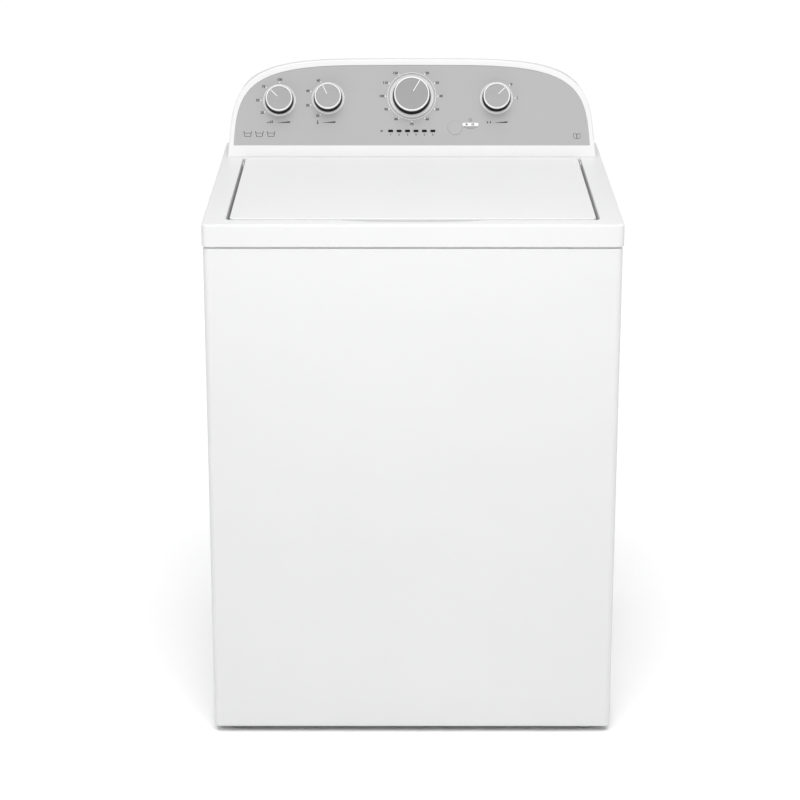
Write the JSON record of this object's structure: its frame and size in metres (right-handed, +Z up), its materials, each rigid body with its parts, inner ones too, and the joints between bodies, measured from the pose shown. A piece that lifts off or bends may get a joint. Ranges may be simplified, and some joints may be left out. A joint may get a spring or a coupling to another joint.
{
  "type": "top load washing machine",
  "caption": "Upright top load washing machine with a rear hinged lid, a sloping arched control console with rotary knobs, and a sprung tub with basket and agitator.",
  "frame": {"origin": "on the floor, under the middle of the machine's box", "axes": "+Z up, -Y out of the front, +X to the right as seen from the front"},
  "size_m": [0.699, 0.686, 1.085],
  "materials": {
    "white_enamel": "gloss white enamel with a fine orange peel",
    "white_plastic": "satin white moulding",
    "grey_fascia": "satin warm grey panel with printed marks",
    "silver_knob": "metallised plastic, brushed face and bright rim",
    "dark_plastic": "moulded black",
    "grey_plastic": "moulded grey",
    "tub_plastic": "moulded pale grey",
    "galvanised": "galvanised sheet with spangle",
    "stainless": "satin stainless sheet",
    "steel": "bare or zinc-plated steel",
    "cast_aluminium": "as cast",
    "rubber": "moulded rubber",
    "circuit_board": "green solder mask",
    "cap_plastic": "moulded blue grey"
  },
  "bodies": {
    "cabinet": {"cabinet_wrap": "white_enamel", "rear_panel": "galvanised", "front_base_brace": "galvanised", "rear_base_brace": "galvanised", "top_panel": "white_enamel", "console_shell": "white_plastic", "console_fascia": "grey_fascia", "console_rear_cover": "galvanised", "control_board": "circuit_board", "indicator_lenses": "dark_plastic", "inlet_valve": "white_plastic", "inlet_nozzle": "grey_plastic", "lid_lock": "dark_plastic", "hinge_bushing_left": "white_plastic", "hinge_bushing_right": "white_plastic", "drain_outlet": "dark_plastic", "cord_inlet": "dark_plastic", "corner_brace_front_left": "galvanised", "corner_brace_front_right": "galvanised", "corner_brace_rear_left": "galvanised", "corner_brace_rear_right": "galvanised", "suspension_rod_front_left": "steel", "suspension_rod_front_right": "steel", "suspension_rod_rear_left": "steel", "suspension_rod_rear_right": "steel"},
    "lid": {"lid": "white_enamel", "lid_liner": "white_plastic", "lid_hinge_left": "steel", "lid_hinge_right": "steel", "lid_strike": "steel"},
    "bolt": {"lock_bolt": "steel"},
    "load_knob": {"load_knob": "silver_knob"},
    "temperature_knob": {"temperature_knob": "silver_knob"},
    "cycle_knob": {"cycle_knob": "silver_knob"},
    "rinse_knob": {"rinse_knob": "silver_knob"},
    "start_button": {"start_button": "grey_fascia"},
    "tub": {"outer_tub": "tub_plastic", "tub_ring": "tub_plastic", "gearcase": "cast_aluminium", "motor": "steel", "pump": "grey_plastic", "drive_belt": "rubber", "drain_hose": "grey_plastic", "suspension_spring_front_left": "steel", "suspension_spring_front_right": "steel", "suspension_spring_rear_left": "steel", "suspension_spring_rear_right": "steel"},
    "basket": {"wash_basket": "stainless", "balance_ring": "tub_plastic", "basket_hub": "cast_aluminium"},
    "agitator": {"agitator": "white_plastic", "drive_shaft": "steel"},
    "auger": {"auger": "white_plastic"},
    "cap": {"agitator_cap": "cap_plastic"},
    "drive_pulley": {"drive_pulley": "steel"},
    "motor_pulley": {"motor_pulley": "steel"},
    "foot_front_left": {"levelling_foot_front_left": "rubber"},
    "foot_front_right": {"levelling_foot_front_right": "rubber"},
    "foot_rear_left": {"levelling_foot_rear_left": "rubber"},
    "foot_rear_right": {"levelling_foot_rear_right": "rubber"}
  },
  "joints": [
    {"name": "lid_swing", "type": "hinge", "parent": "cabinet", "child": "lid", "pos_m": [0, 0.154, 0.905], "axis": [-1, 0, 0], "range_deg": [0, 100]},
    {"name": "bolt_slide", "type": "slide", "parent": "cabinet", "child": "bolt", "axis": [0, 1, 0], "range_m": [0, 0.008]},
    {"name": "load_turn", "type": "hinge", "parent": "cabinet", "child": "load_knob", "pos_m": [-0.245, 0.22603, 1.01453], "axis": [0, -0.891, 0.454], "range_deg": [-45, 85]},
    {"name": "temperature_turn", "type": "hinge", "parent": "cabinet", "child": "temperature_knob", "pos_m": [-0.155, 0.22785, 1.01809], "axis": [0, -0.891, 0.454], "range_deg": [0, 132]},
    {"name": "cycle_turn", "type": "hinge", "parent": "cabinet", "child": "cycle_knob", "pos_m": [0, 0.22966, 1.02166], "axis": [0, -0.891, 0.454], "continuous": true},
    {"name": "rinse_turn", "type": "hinge", "parent": "cabinet", "child": "rinse_knob", "pos_m": [0.157, 0.22807, 1.01854], "axis": [0, -0.891, 0.454], "range_deg": [-45, 0]},
    {"name": "start_press", "type": "slide", "parent": "cabinet", "child": "start_button", "axis": [0, 0.891, -0.454], "range_m": [0, 0.003], "stiffness_N_per_m": 500, "springref_m": -0.001},
    {"name": "tub_bounce", "type": "slide", "parent": "cabinet", "child": "tub", "axis": [0, 0, 1], "range_m": [-0.035, 0.012], "stiffness_N_per_m": 6000, "springref_m": 0.0686, "deforming": ["suspension_spring_front_left", "suspension_spring_front_right", "suspension_spring_rear_left", "suspension_spring_rear_right", "drain_hose"]},
    {"name": "basket_spin", "type": "hinge", "parent": "tub", "child": "basket", "pos_m": [0, -0.03, 0.2], "axis": [0, 0, 1], "continuous": true},
    {"name": "drive_pulley_turn", "type": "hinge", "parent": "tub", "child": "drive_pulley", "pos_m": [0, -0.03, 0.2], "axis": [0, 0, 1], "continuous": true},
    {"name": "agitator_turn", "type": "hinge", "parent": "tub", "child": "agitator", "pos_m": [0, -0.03, 0.2], "axis": [0, 0, 1], "continuous": true},
    {"name": "motor_pulley_turn", "type": "hinge", "parent": "tub", "child": "motor_pulley", "pos_m": [-0.165, -0.03, 0.2], "axis": [0, 0, 1], "continuous": true},
    {"name": "auger_turn", "type": "hinge", "parent": "agitator", "child": "auger", "pos_m": [0, -0.03, 0.2], "axis": [0, 0, 1], "continuous": true},
    {"name": "cap_lift", "type": "slide", "parent": "auger", "child": "cap", "axis": [0, 0, 1], "range_m": [0, 0.03]},
    {"name": "foot_screw_front_left", "type": "slide", "parent": "cabinet", "child": "foot_front_left", "axis": [0, 0, -1], "range_m": [0, 0.015]},
    {"name": "foot_screw_front_right", "type": "slide", "parent": "cabinet", "child": "foot_front_right", "axis": [0, 0, -1], "range_m": [0, 0.015]},
    {"name": "foot_screw_rear_left", "type": "slide", "parent": "cabinet", "child": "foot_rear_left", "axis": [0, 0, -1], "range_m": [0, 0.015]},
    {"name": "foot_screw_rear_right", "type": "slide", "parent": "cabinet", "child": "foot_rear_right", "axis": [0, 0, -1], "range_m": [0, 0.015]}
  ],
  "couplings": [
    {"joint": "agitator_turn", "follows": "drive_pulley_turn", "ratio": 0.25},
    {"joint": "motor_pulley_turn", "follows": "drive_pulley_turn", "ratio": 4.5714}
  ]
}
